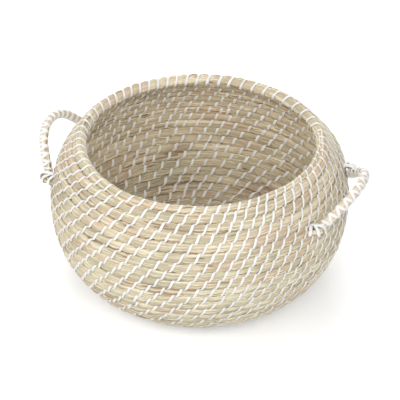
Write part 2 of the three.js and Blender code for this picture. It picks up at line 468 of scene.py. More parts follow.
@dataclass(frozen=True)
class StemTones:
    """The effect that gives each dried stem a tone of its own, shared by all the grass.

    A range maps a value to a share or a shade: the value's start and end, and the results there. A run is a
    stretch of the bundle's length, from the middle of the base. The inner half lies between two places
    across the stem map, where a bundle's stems face the hollow of the basket. Painted light makes those
    stems lighter, and painted shade makes them darker near the base, along the inner run.
    """

    start_spread: float = 7.0
    straw: Range = (0.1, 0.75, 0.0, 1.0)
    green: Range = (0.62, 0.95, 0.0, 0.75)
    rust: Range = (0.93, 0.985, 0.0, 0.85)
    tan: Range = (0.52, 0.72, 0.0, 0.5)
    stain_clouds: Range = (0.6, 0.74, 0.0, 1.0)
    stain_stems: Range = (0.7, 0.9, 0.0, 0.8)
    cloud_scale: tuple[float, float] = (3.7, 22.0)
    cloud_detail: float = 3.0
    patch_scale: float = 7.0
    patch_detail: float = 1.0
    fibre_scale: tuple[float, float] = (5.0, 90.0)
    fibre_detail: float = 4.0
    streaks: Range = (0.3, 0.7, 0.84, 1.1)
    dusk: Range = (0.28, 0.5, 0.9, 1.03)
    tone_shade: Range = (0.0, 1.0, 1.08, 0.84)
    inner_half: tuple[float, float] = (11.0, 22.5)
    inner_foot_run: tuple[float, float] = (7.0, 15.0)
    foot_run: tuple[float, float] = (12.0, 24.0)
    valley: Range = (0.34, 0.5, 0.0, 1.0)

    def group(self) -> bpy.types.NodeTree:
        """Builds the node group.

        Returns:
            The group. Its inputs are the stem map's vector, the tones, and the painted light and painted shade of
            the inner face. Its outputs are a colour, a mask of the valleys between stems where shade is painted,
            and a height for the fibres.
        """
        color, number = "NodeSocketColor", "NodeSocketFloat"
        group, sheet, given, result = new_group(
            "stem_tones",
            [
                ("Stems", "NodeSocketVector", None),
                ("Stem Length", number, 1.0),
                ("Pale", color, WHITE),
                ("Straw", color, WHITE),
                ("Green", color, WHITE),
                ("Rust", color, WHITE),
                ("Tan", color, WHITE),
                ("Brown", color, WHITE),
                # Painted light on the face towards the hollow, and painted shade on it near the base.
                ("Inner Lift", number, 1.0),
                ("Inner Foot", number, 1.0),
                ("Foot Tint", color, WHITE),
            ],
            [("Color", color), ("Valley", number), ("Fibres", number)],
        )
        split = sheet.add("ShaderNodeSeparateXYZ")
        sheet.link(given.outputs["Stems"], split.inputs[0])
        across, along = split.outputs[0], split.outputs[1]
        stem = sheet.math("FLOOR", across)
        tone, lots = self.draw(sheet, stem, sheet.math("DIVIDE", along, given.outputs["Stem Length"]))
        patches = sheet.noise(sheet.math("MULTIPLY", along, self.patch_scale), self.patch_detail, "1D")
        fibres = sheet.noise(sheet.stretched(across, along, self.fibre_scale), self.fibre_detail)
        clouds = sheet.noise(sheet.stretched(stem, along, self.cloud_scale), self.cloud_detail)
        stain = sheet.math(
            "MULTIPLY", sheet.remap(clouds, *self.stain_clouds), sheet.remap(lots[0], *self.stain_stems)
        )
        body = given.outputs["Pale"]
        for title, share in (
            ("Straw", sheet.remap(tone, *self.straw)),
            ("Green", sheet.remap(lots[1], *self.green)),
            ("Rust", sheet.remap(lots[2], *self.rust)),
            ("Tan", sheet.remap(patches, *self.tan)),
            ("Brown", stain),
        ):
            body = sheet.mix(share, body, given.outputs[title])

        shade = sheet.math("MULTIPLY", sheet.remap(fibres, *self.streaks), sheet.remap(patches, *self.dusk))
        shade = sheet.math("MULTIPLY", shade, sheet.remap(tone, *self.tone_shade))
        # Painted light on the stems that face the hollow, giving way to painted shade on them near the base.
        inner = self.inner_mask(sheet, across)
        lift = sheet.remap(along, *self.inner_foot_run, given.outputs["Inner Foot"], given.outputs["Inner Lift"])
        shade = sheet.math("MULTIPLY", shade, sheet.remap(inner, 0.0, 1.0, 1.0, lift))
        body = sheet.mix(1.0, body, sheet.vector(shade, shade, shade), "MULTIPLY")
        outer = sheet.math("SUBTRACT", 1.0, inner)
        foot = sheet.math("MULTIPLY", sheet.remap(along, *self.foot_run, 1.0, 0.0), outer)
        body = sheet.mix(1.0, body, sheet.mix(foot, WHITE, given.outputs["Foot Tint"]), "MULTIPLY")

        # Mask of the grooves between stems, where the grass finish paints shade.
        edge = sheet.math("ABSOLUTE", sheet.math("SUBTRACT", sheet.math("FRACT", across), 0.5))
        sheet.link(body, result.inputs["Color"])
        sheet.link(sheet.remap(edge, *self.valley), result.inputs["Valley"])
        sheet.link(fibres, result.inputs["Fibres"])
        return group

    def draw(self, sheet: NodeSheet, stem: bpy.types.NodeSocket, lengths: bpy.types.NodeSocket) -> tuple:
        """Draws random values for each length of each stem.

        Args:
            sheet: The group's sheet.
            stem: Number of the stem.
            lengths: Distance along it, counted in stem lengths.

        Returns:
            One value from 0 to 1 for the tone, and three more for what else may happen to the stem.
        """
        start = sheet.add("ShaderNodeTexWhiteNoise", noise_dimensions="1D")
        sheet.link(stem, start.inputs["W"])
        offset = sheet.math("MULTIPLY", start.outputs["Value"], self.start_spread)
        piece = sheet.math("FLOOR", sheet.math("ADD", lengths, offset))
        pick = sheet.add("ShaderNodeTexWhiteNoise", noise_dimensions="2D")
        sheet.link(sheet.vector(stem, piece), pick.inputs["Vector"])
        lots = sheet.add("ShaderNodeSeparateColor")
        sheet.link(pick.outputs["Color"], lots.inputs[0])
        return pick.outputs["Value"], lots.outputs

    def inner_mask(self, sheet: NodeSheet, across: bpy.types.NodeSocket) -> bpy.types.NodeSocket:
        """Marks the stems that face the hollow of the basket.

        Args:
            sheet: The group's sheet.
            across: The stem map's coordinate across.

        Returns:
            A mask, 1 on those stems.
        """
        first, last = self.inner_half
        half = sheet.math(
            "MULTIPLY", sheet.math("GREATER_THAN", across, first), sheet.math("LESS_THAN", across, last)
        )
        return sheet.math("MAXIMUM", half, sheet.math("GREATER_THAN", across, float(INNER_STEMS_FROM)))


@dataclass(frozen=True)
class GrassFinish:
    """Dried seagrass: matt stems of mixed tones, with painted shade in the gaps between them.

    Painted light makes the face towards the hollow lighter, and painted shade makes it darker near the base.
    The foot tint colours the outer face near the base.
    """

    name: str
    pale: Color
    straw: Color
    green: Color
    rust: Color = (0.42, 0.235, 0.12)
    brown: Color = (0.13, 0.085, 0.045)
    tan: Color = (0.72, 0.53, 0.38)
    # Painted light on the face towards the hollow, and painted shade on it near the base.
    inner_lift: float = 1.0
    inner_foot: float = 1.0
    foot_tint: Color = (1.0, 1.0, 1.0)
    # Painted shade in the grooves between stems: the share of brown mixed in there.
    gap_shade: float = 0.5
    stem_length: float = 0.09
    roughness: float = 0.58
    shine: float = 0.35
    fibre_strength: float = 0.6
    fibre_depth: float = 0.00018

    def material(self, tones: bpy.types.NodeTree) -> bpy.types.Material:
        """Builds the material.

        Args:
            tones: The group that gives each stem its tone.

        Returns:
            The material.
        """
        made, sheet = new_material(self.name)
        stems = sheet.add("ShaderNodeUVMap", uv_map=STEM_MAP)
        group = sheet.add("ShaderNodeGroup", node_tree=tones)
        sheet.link(stems.outputs[0], group.inputs["Stems"])
        group.inputs["Stem Length"].default_value = self.stem_length
        # Painted light and painted shade on the face towards the hollow.
        group.inputs["Inner Lift"].default_value = self.inner_lift
        group.inputs["Inner Foot"].default_value = self.inner_foot
        for title, value in (
            ("Pale", self.pale),
            ("Straw", self.straw),
            ("Green", self.green),
            ("Rust", self.rust),
            ("Brown", self.brown),
            ("Tan", self.tan),
            ("Foot Tint", self.foot_tint),
        ):
            group.inputs[title].default_value = (*value, 1.0)
        # Painted shade: the grooves between stems are mixed towards brown.
        gap = sheet.mix(self.gap_shade, group.outputs["Color"], (*self.brown, 1.0))
        color = sheet.mix(group.outputs["Valley"], group.outputs["Color"], gap)
        shader = sheet.add("ShaderNodeBsdfPrincipled")
        sheet.link(color, shader.inputs["Base Color"])
        bump = sheet.bump(group.outputs["Fibres"], self.fibre_strength, self.fibre_depth)
        sheet.link(bump, shader.inputs["Normal"])
        shader.inputs["Roughness"].default_value = self.roughness
        shader.inputs["Specular IOR Level"].default_value = self.shine
        sheet.surface(shader)
        return made


@dataclass(frozen=True)
class StripFinish:
    """Flat white sewing strip with a faint lengthwise grain."""

    name: str
    white: Color = (0.93, 0.93, 0.925)
    dull: Color = (0.84, 0.83, 0.8)
    dull_range: Range = (0.45, 0.8, 0.0, 1.0)
    roughness: float = 0.42
    shine: float = 0.5
    grain_scale: tuple[float, float] = (9.0, 60.0)
    grain_detail: float = 2.0
    grain_strength: float = 0.5
    grain_depth: float = 0.00006

    def material(self) -> bpy.types.Material:
        """Builds the material.

        Returns:
            The material.
        """
        made, sheet = new_material(self.name)
        stems = sheet.add("ShaderNodeUVMap", uv_map=STEM_MAP)
        split = sheet.add("ShaderNodeSeparateXYZ")
        sheet.link(stems.outputs[0], split.inputs[0])
        place = sheet.stretched(split.outputs[0], split.outputs[1], self.grain_scale)
        grain = sheet.noise(place, self.grain_detail)
        color = sheet.mix(sheet.remap(grain, *self.dull_range), (*self.white, 1.0), (*self.dull, 1.0))
        shader = sheet.add("ShaderNodeBsdfPrincipled")
        sheet.link(color, shader.inputs["Base Color"])
        sheet.link(sheet.bump(grain, self.grain_strength, self.grain_depth), shader.inputs["Normal"])
        shader.inputs["Roughness"].default_value = self.roughness
        shader.inputs["Specular IOR Level"].default_value = self.shine
        sheet.surface(shader)
        return made


# The coil


@dataclass(frozen=True)
class CoilCourse:
    """The run of the bundle from the middle of the base to the rim, as the frame's coil has it.

    A place on the run is counted in rounds from the first turn. An angle round the bundle is 0 on the
    outside of the basket, a quarter turn towards the next course and half a turn on the inside.

    The rim's two rows give the bundle's thickness, as a share of the usual one, for the rounds left to its
    end. A dimple has an azimuth in degrees, a height and a depth. A sway has a size, its waves in a round
    and the angle that it runs on by in each round. The wall's cuts are counted in rounds from its foot.
    """

    foot_radius: float = 0.1165
    belly_radius: float = 0.194
    belly_height: float = 0.116
    rim_radius: float = 0.155
    rim_height: float = 0.206
    shoulder_sweep: float = math.radians(55.3)
    thickness: float = 0.0123
    spacing: float = 0.0123
    gap: float = 0.0006
    knot_radius: float = 0.0145
    knot_clearance: float = 0.0004
    steps_per_round: int = 24
    straight_start_steps: int = 2
    rim_end_azimuth: float = math.radians(30.0)
    rim_left: tuple[float, ...] = (0.0, 0.12, 0.33, 0.42, 0.5, 0.62, 1.0, 1.25)
    rim_thickness: tuple[float, ...] = (0.3, 0.68, 0.82, 0.95, 1.2, 1.25, 1.22, 1.0)
    rim_roll: float = 0.005
    floor_lift: float = 0.0009
    floor_reach: float = 0.004
    bulge: float = 0.0052
    bulge_place: tuple[float, float] = (math.radians(45.0), 0.164)
    bulge_size: tuple[float, float] = (math.radians(24.0), 0.022)
    dimples: tuple[tuple[float, float, float], ...] = (
        (-18.0, 0.1555, 0.0019), (18.0, 0.1555, 0.0033), (162.0, 0.15, 0.0019), (198.0, 0.15, 0.0021),
    )
    dimple_size: tuple[float, float] = (math.radians(4.8), 0.0075)
    sways: tuple[tuple[float, int, float], ...] = ((0.00045, 3, 0.8), (0.00035, 8, 1.9), (0.0002, 17, 2.6))
    wall_cuts: tuple[float, float] = (7.0, 14.0)
    samples: int = 3000
    heading_step: float = 0.03
    length_samples: int = 8000
    length_margins: tuple[float, float] = (2.0, 0.5)

    @cached_property
    def outline(self) -> tuple[np.ndarray, np.ndarray, np.ndarray]:
        """Samples the outline of the bundle's centre, from the first turn to the rim.

        Returns:
            The radius, the height and the outline's length at each sample.
        """
        bowl = np.linspace(-math.pi / 2, 0.0, self.samples)[1:]
        shoulder = np.linspace(0.0, self.shoulder_sweep, self.samples)[1:]
        bowl_width = self.belly_radius - self.foot_radius
        bowl_depth = self.belly_height - self.thickness / 2
        width = (self.belly_radius - self.rim_radius) / (1.0 - math.cos(self.shoulder_sweep))
        depth = (self.rim_height - self.belly_height) / math.sin(self.shoulder_sweep)
        radius = np.concatenate([
            np.linspace(self.start_radius(), self.foot_radius, self.samples),
            self.foot_radius + bowl_width * np.cos(bowl),
            self.belly_radius - width + width * np.cos(shoulder),
        ])
        height = np.concatenate([
            np.full(self.samples, self.thickness / 2),
            self.belly_height + bowl_depth * np.sin(bowl),
            self.belly_height + depth * np.sin(shoulder),
        ])
        length = np.concatenate([[0.0], np.cumsum(np.hypot(np.diff(radius), np.diff(height)))])
        return radius, height, length

    def start_radius(self) -> float:
        """Works out where the first turn clears the starting knot along its straight start.

        Returns:
            Radius of the first turn.
        """
        near = self.knot_radius + self.knot_clearance
        angle = 2 * math.pi * self.straight_start_steps / self.steps_per_round
        far = near + self.spacing * self.straight_start_steps / self.steps_per_round
        end = (far * math.cos(angle), far * math.sin(angle))
        closest = near * end[1] / math.hypot(end[0] - near, end[1])
        return near + (near - closest) + (self.spacing - self.gap) / 2

    @cached_property
    def rounds(self) -> float:
        """Rounds from the first turn to the end on the rim."""
        return round(self.outline[2][-1] / self.spacing * self.steps_per_round) / self.steps_per_round

    @property
    def pitch(self) -> float:
        """Distance from one course to the next along the outline."""
        return self.outline[2][-1] / self.rounds

    @property
    def foot_round(self) -> float:
        """Place where the flat base turns up into the wall."""
        joint = round((self.foot_radius - self.start_radius()) / self.pitch * self.steps_per_round)
        return (joint + 0.5) / self.steps_per_round

    def wall_bands(self) -> dict[str, tuple[float, float]]:
        """Bands of courses that keep each piece on the wall small.

        Returns:
            The first and the last place of each band, under its name.
        """
        foot = self.foot_round
        low, middle = (foot + rounds for rounds in self.wall_cuts)
        return {"low": (foot, low), "middle": (low, middle), "top": (middle, self.rounds)}

    def centre(self, rounds: np.ndarray) -> tuple[np.ndarray, np.ndarray]:
        """Finds the bundle's centre.

        Args:
            rounds: Place along the run.

        Returns:
            Its radius and its height.
        """
        radius, height, length = self.outline
        distance = rounds * self.pitch
        inward = np.minimum(distance, 0.0)
        return np.interp(distance, length, radius) + inward, np.interp(distance, length, height)

    def along(self, rounds: np.ndarray) -> tuple[np.ndarray, np.ndarray]:
        """Finds the direction towards the next course.

        Args:
            rounds: Place along the run.

        Returns:
            The two parts of the unit direction: out from the axis, and up.
        """
        r0, z0 = self.centre(np.minimum(rounds, self.rounds) - self.heading_step)
        r1, z1 = self.centre(np.minimum(rounds + self.heading_step, self.rounds))
        size = np.hypot(r1 - r0, z1 - z0)
        return (r1 - r0) / size, (z1 - z0) / size

    def scale(self, rounds: np.ndarray) -> np.ndarray:
        """Thickness of the bundle as a share of its usual one: fuller on the rim, then thinning to its end."""
        return np.interp(self.rounds - rounds, self.rim_left, self.rim_thickness)

    def mound(
        self, azimuth: np.ndarray, height: np.ndarray, place: tuple[float, float], size: tuple[float, float]
    ) -> np.ndarray:
        """Soft round mound on the wall.

        Args:
            azimuth: Azimuth of each point, in radians.
            height: Height of each point.
            place: Azimuth and height of the mound's middle.
            size: How wide it is, as an angle, and how high.

        Returns:
            Its share at each point, 1 in its middle.
        """
        turn = (azimuth - place[0] + math.pi) % (2 * math.pi) - math.pi
        return np.exp(-((turn / size[0]) ** 2 + ((height - place[1]) / size[1]) ** 2))

    def unevenness(self, azimuth: np.ndarray, height: np.ndarray) -> np.ndarray:
        """How far the handmade wall stands out from its true round.

        It bulges between the handle and the rim's end, and gives way a little at each foot of a handle.

        Args:
            azimuth: Azimuth of each point, in radians.
            height: Height of each point.

        Returns:
            The distance outwards.
        """
        out = self.bulge * self.mound(azimuth, height, self.bulge_place, self.bulge_size)
        for degrees, level, depth in self.dimples:
            out = out - depth * self.mound(azimuth, height, (math.radians(degrees), level), self.dimple_size)
        return out

    def sway(self, rounds: np.ndarray) -> np.ndarray:
        """How far the hand-laid course strays from its even line.

        Args:
            rounds: Place along the run.

        Returns:
            The distance towards the next course.
        """
        stray = 0.0 * rounds
        for size, waves, phase in self.sways:
            stray = stray + size * np.sin(rounds * (2 * math.pi * waves + phase))
        return stray

    def azimuth(self, rounds: np.ndarray) -> np.ndarray:
        """Direction from the axis at each place, in radians from +X."""
        return self.rim_end_azimuth + 2 * math.pi * (rounds - self.rounds)

    def surface(self, rounds: np.ndarray, angle: np.ndarray, radius: np.ndarray) -> np.ndarray:
        """Points on or over the bundle.

        Args:
            rounds: Place along the run.
            angle: Angle round the bundle.
            radius: Distance from the bundle's centre, where the bundle has its usual thickness.

        Returns:
            The points, shape (..., 3).
        """
        middle, height = self.centre(rounds)
        out, rise = self.along(rounds)
        scale = self.scale(rounds)
        sink = self.spacing / 2 * (scale - 1.0) + self.sway(rounds)
        across = radius * scale * np.sin(angle) + sink
        outward = radius * scale * np.cos(angle) - self.rim_roll * np.maximum(scale - 1.0, 0.0)
        r = middle + out * across + rise * outward
        z = height + rise * across - out * outward
        z = z + self.floor_lift * np.exp(-z / self.floor_reach)
        azimuth = self.azimuth(rounds)
        r = r + self.unevenness(azimuth, z)
        return np.stack([r * np.cos(azimuth), r * np.sin(azimuth), z], -1)

    def length_at(self, rounds: np.ndarray) -> np.ndarray:
        """Length of the bundle from its start.

        Args:
            rounds: Place along the run.

        Returns:
            The length up to each place.
        """
        before, after = self.length_margins
        fine = np.linspace(-before, self.rounds + after, self.length_samples)
        radius, _ = self.centre(fine)
        steps = np.diff(fine) * 2 * math.pi * (radius[1:] + radius[:-1]) / 2
        return np.interp(rounds, fine, np.concatenate([[0.0], np.cumsum(steps)]))


@dataclass(frozen=True)
class StitchPlan:
    """Where the strip crosses the bundle, worked out as the maker sews it, from the base up.

    Each new stitch goes in the gap between two stitches of the course below, so that the stitches line up
    in slanting chains. A stitch is added between two chains where the basket widens. The two rows give the
    stitches in a round for the rounds below the rim.
    """

    first_round: float = -1.35
    rows_below_rim: tuple[float, ...] = (0.0, 9.0, 12.0, 14.0, 16.0, 20.5, 28.5)
    stitches_per_round: tuple[float, ...] = (62.5, 62.5, 56.0, 49.5, 46.5, 38.0, 7.0)
    hop: float = 0.53
    hop_spread: float = 0.05
    closest: float = 0.5
    evenness: float = 0.12
    smoothing: float = 0.3
    smoothing_passes: int = 2
    end_margin: float = 0.2
    lean: float = 0.55
    inner_lean: float = 0.42
    hook: float = 0.04
    seed: int = 19

    def interval(self, course: CoilCourse, rounds: np.ndarray) -> np.ndarray:
        """Wanted spacing of the stitches at each place, in rounds."""
        return 1.0 / np.interp(course.rounds - rounds, self.rows_below_rim, self.stitches_per_round)

    def places(self, course: CoilCourse) -> np.ndarray:
        """Places of all the stitches, from the middle of the base to the rim.

        Args:
            course: The run of the bundle.

        Returns:
            The places, in rounds, rising.
        """
        rng = np.random.default_rng(self.seed)
        placed = [self.first_round]
        below = 0
        owed = 0.0
        while placed[-1] < course.rounds:
            last = placed[-1]
            wanted = float(self.interval(course, last))
            if last - self.first_round < 1.0:
                place = last + wanted
            else:
                hop = self.hop + rng.uniform(-self.hop_spread, self.hop_spread)
                while True:
                    above = placed[below] + 1.0 + hop * (placed[below + 1] - placed[below])
                    if above > last + self.closest * wanted:
                        break
                    below += 1
                place = above + self.evenness * (last + wanted - above)
            owed += (place - last) / wanted - 1.0
            if owed > 1.0:
                placed.append((last + place) / 2)
                owed -= 1.0
            placed.append(place)
        found = np.array(placed)
        for _ in range(self.smoothing_passes):
            found[1:-1] += self.smoothing * ((found[:-2] + found[2:]) / 2 - found[1:-1])
        return found[found < course.rounds - self.end_margin * wanted]

    def shift(self, course: CoilCourse, rounds: np.ndarray, angle: np.ndarray) -> np.ndarray:
        """How far the leaning strip is from its place.

        It leans more outside than inside, and most where it enters a groove.

        Args:
            course: The run of the bundle.
            rounds: Place of the stitch.
            angle: Angle round the bundle.

        Returns:
            The distance along the run, in rounds.
        """
        turn = angle / math.pi - self.hook * np.sin(2 * angle)
        lean = self.lean * np.minimum(turn, 0.5) + self.inner_lean * np.maximum(turn - 0.5, 0.0)
        return self.interval(course, rounds) * lean


@dataclass(frozen=True)
class GrassBundle:
    """Stems of a bundle: how many show round it and how they swell between the stitches.

    The courses press against each other, so the bundle is fuller than round towards its neighbours.
    """

    stems: int = 22
    fullness: float = 3.1
    press: float = 0.00045
    valley_depth: float = 0.00042
    height_wander: float = 0.00034
    side_wander: float = 0.45
    wander_length: float = 0.03
    side_stretch: float = 1.7
    twist: float = 0.55
    twist_length: float = 0.07
    pinch: float = 0.0008
    swell: float = 0.0003

    def ring_angles(self) -> np.ndarray:
        """Angles of a ring's points, from the groove below the course round by the outside."""
        return -math.pi / 2 + stem_angles(self.stems)

    def reach(self, angle: np.ndarray, radius: float) -> np.ndarray:
        """Distance from the centre to the surface.

        Args:
            angle: Angle round the bundle.
            radius: Half the bundle's thickness.

        Returns:
            The distance at each angle.
        """
        power = self.fullness
        outward = np.abs(np.cos(angle)) / radius
        sideways = np.abs(np.sin(angle)) / (radius + self.press)
        return (outward ** power + sideways ** power) ** (-1.0 / power)


@dataclass
class CoiledGrass:
    """The long bundle, cut where the frame cuts it and into bands that keep each piece small.

    Each stitch has four rings: two under the strip, where it pinches the bundle, and two in the swell after it.
    """

    course: CoilCourse
    plan: StitchPlan
    bundle: GrassBundle
    ring_shares: tuple[float, ...] = (-0.11, 0.11, 0.37, 0.63)
    ring_pinched: tuple[bool, ...] = (True, True, False, False)
    end_margin: float = 0.002
    seed: int = 41

    def spots(self) -> tuple[np.ndarray, np.ndarray, np.ndarray]:
        """Works out where the rings of the bundle are.

        Returns:
            The place of each ring, how far it stands out there, and the bundle's length there.
        """
        places = self.plan.places(self.course)
        gaps = np.diff(places, append=places[-1] + self.plan.interval(self.course, places[-1]))
        spots = (places[:, None] + gaps[:, None] * np.array(self.ring_shares)).reshape(-1)
        keep = spots < self.course.rounds - self.end_margin
        spots = np.append(spots[keep], self.course.rounds)
        pinched = np.append(np.tile(self.ring_pinched, len(places))[keep], True)
        out = np.where(pinched, -self.bundle.pinch, self.bundle.swell)
        return spots, out, self.course.length_at(spots)

    def rings(self) -> tuple[np.ndarray, np.ndarray, np.ndarray]:
        """Works out every ring of the bundle.

        Returns:
            The place of each ring, its points, and the bundle's length there.
        """
        spots, out, lengths = self.spots()
        bundle = self.bundle
        angles = bundle.ring_angles()
        rng = np.random.default_rng(self.seed)
        lift = smooth_noise(rng, lengths, bundle.wander_length, bundle.stems)
        sway = smooth_noise(rng, lengths, bundle.wander_length * bundle.side_stretch, bundle.stems * 2)
        turn = smooth_noise(rng, lengths, bundle.twist_length, 1) * bundle.twist
        angle = angles[None, :] + turn + sway * bundle.side_wander * math.pi / (bundle.stems * 2)
        radius = bundle.reach(angle, self.course.thickness / 2)
        radius += out[:, None]
        radius[:, 1::2] += bundle.height_wander * lift
        radius[:, 0::2] -= bundle.valley_depth
        shift = self.plan.shift(self.course, spots[:, None], angles[None, :])
        places_at = np.minimum(spots[:, None] + shift, self.course.rounds)
        return spots, self.course.surface(places_at, angle, radius), lengths

    def build(self, material: bpy.types.Material) -> None:
        """Makes the pieces of grass and lets them stand for the frame's coil.

        Args:
            material: Material of the grass.
        """
        spots, points, lengths = self.rings()
        across = stem_numbers(self.bundle.stems)
        cuts = {
            "knot_grass": (-math.inf, 0.0, "starting_knot"),
            "base_grass": (0.0, self.course.foot_round, "base_coil"),
        }
        for band, (low, high) in self.course.wall_bands().items():
            cuts[f"wall_grass_{band}"] = (low, high, "wall_coil")
        for name, (low, high, node) in cuts.items():
            first = int(np.searchsorted(spots, low))
            last = int(np.searchsorted(spots, high, side="right"))
            chosen = slice(max(first - 1, 0), last)
            piece = tube_object(name, points[None, chosen], across, lengths[None, chosen])
            dress(piece, "basket", material)
            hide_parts(node)


@dataclass
class LooseStems:
    """Single stems that lie on the bundle's faces and cross the others at a slight slant.

    The section is given as shares of half a stem's width and of its thickness.
    """

    grass: CoiledGrass
    per_ring: float = 0.34
    rings: int = 10
    face: float = math.radians(64.0)
    slant: float = math.radians(17.0)
    bend_middle: float = 0.08
    width: tuple[float, float] = (0.0011, 0.0022)
    bluntness: float = 1.05
    thickness: float = 0.0004
    lift: tuple[float, float] = (-0.0003, 0.0003)
    end_depth: float = 0.0007
    end_sharpness: int = 4
    section: Outline = ((0.35, 0.9), (-0.35, 0.9), (-1.0, 0.0), (0.0, -0.8), (1.0, 0.0))
    wall_cut: float = 9.0
    seed: int = 83

    def stems(self, inside: bool) -> tuple[np.ndarray, np.ndarray, np.ndarray]:
        """Rings of the stems on one face of the bundle.

        Args:
            inside: True for the face towards the hollow of the basket.

        Returns:
            The points, shape (stems, rings, section points, 3), the place of each stem, and the bundle's
            length at each ring.
        """
        grass = self.grass
        course, bundle = grass.course, grass.bundle
        spots, swell, lengths = grass.spots()
        rng = np.random.default_rng(self.seed + inside)
        count = int(self.per_ring * (len(spots) - self.rings))
        starts = rng.integers(0, len(spots) - self.rings, count)
        index = starts[:, None] + np.arange(self.rings)[None, :]
        share = np.linspace(-0.5, 0.5, self.rings)[None, :]
        middle = rng.uniform(-self.face, self.face, count) + (math.pi if inside else 0.0)
        slant = rng.normal(0.0, self.slant, count)
        bend = rng.normal(0.0, self.slant / 2, count)
        angle = middle[:, None] + slant[:, None] * share + bend[:, None] * (share ** 2 - self.bend_middle)
        wide = rng.uniform(*self.width, count)[:, None] * np.sqrt(self.bluntness - (2 * share) ** 2)
        dive = self.end_depth * (2 * np.abs(share)) ** self.end_sharpness
        lift = rng.uniform(*self.lift, count)[:, None] - dive
        section = np.array(self.section)
        half = course.thickness / 2
        turned = angle[:, :, None] + section[None, None, :, 0] * wide[:, :, None] / 2 / half
        radius = bundle.reach(turned, half) + (lift + swell[index])[:, :, None]
        radius = radius + section[None, None, :, 1] * self.thickness
        place = spots[index][:, :, None]
        place = np.minimum(place + grass.plan.shift(course, place, turned), course.rounds)
        return course.surface(place, turned, radius), spots[starts], lengths[index]

    def build(self, material: bpy.types.Material) -> None:
        """Makes the stems outside and inside, in bands that keep each piece small.

        Args:
            material: Material of the grass.
        """
        foot = self.grass.course.foot_round
        cut = foot + self.wall_cut
        bands = {"base": (0.0, foot), "low": (foot, cut), "top": (cut, self.grass.course.rounds)}
        for face, inside, first in (("outer", False, OUTER_STEMS_FROM), ("inner", True, INNER_STEMS_FROM)):
            stems, starts, lengths = self.stems(inside)
            number = first + np.arange(len(stems))
            for band, (low, high) in bands.items():
                chosen = (starts >= low) & (starts < high)
                piece = numbered_tubes(f"{face}_stems_{band}", stems[chosen], number[chosen], lengths[chosen])
                dress(piece, "basket", material)


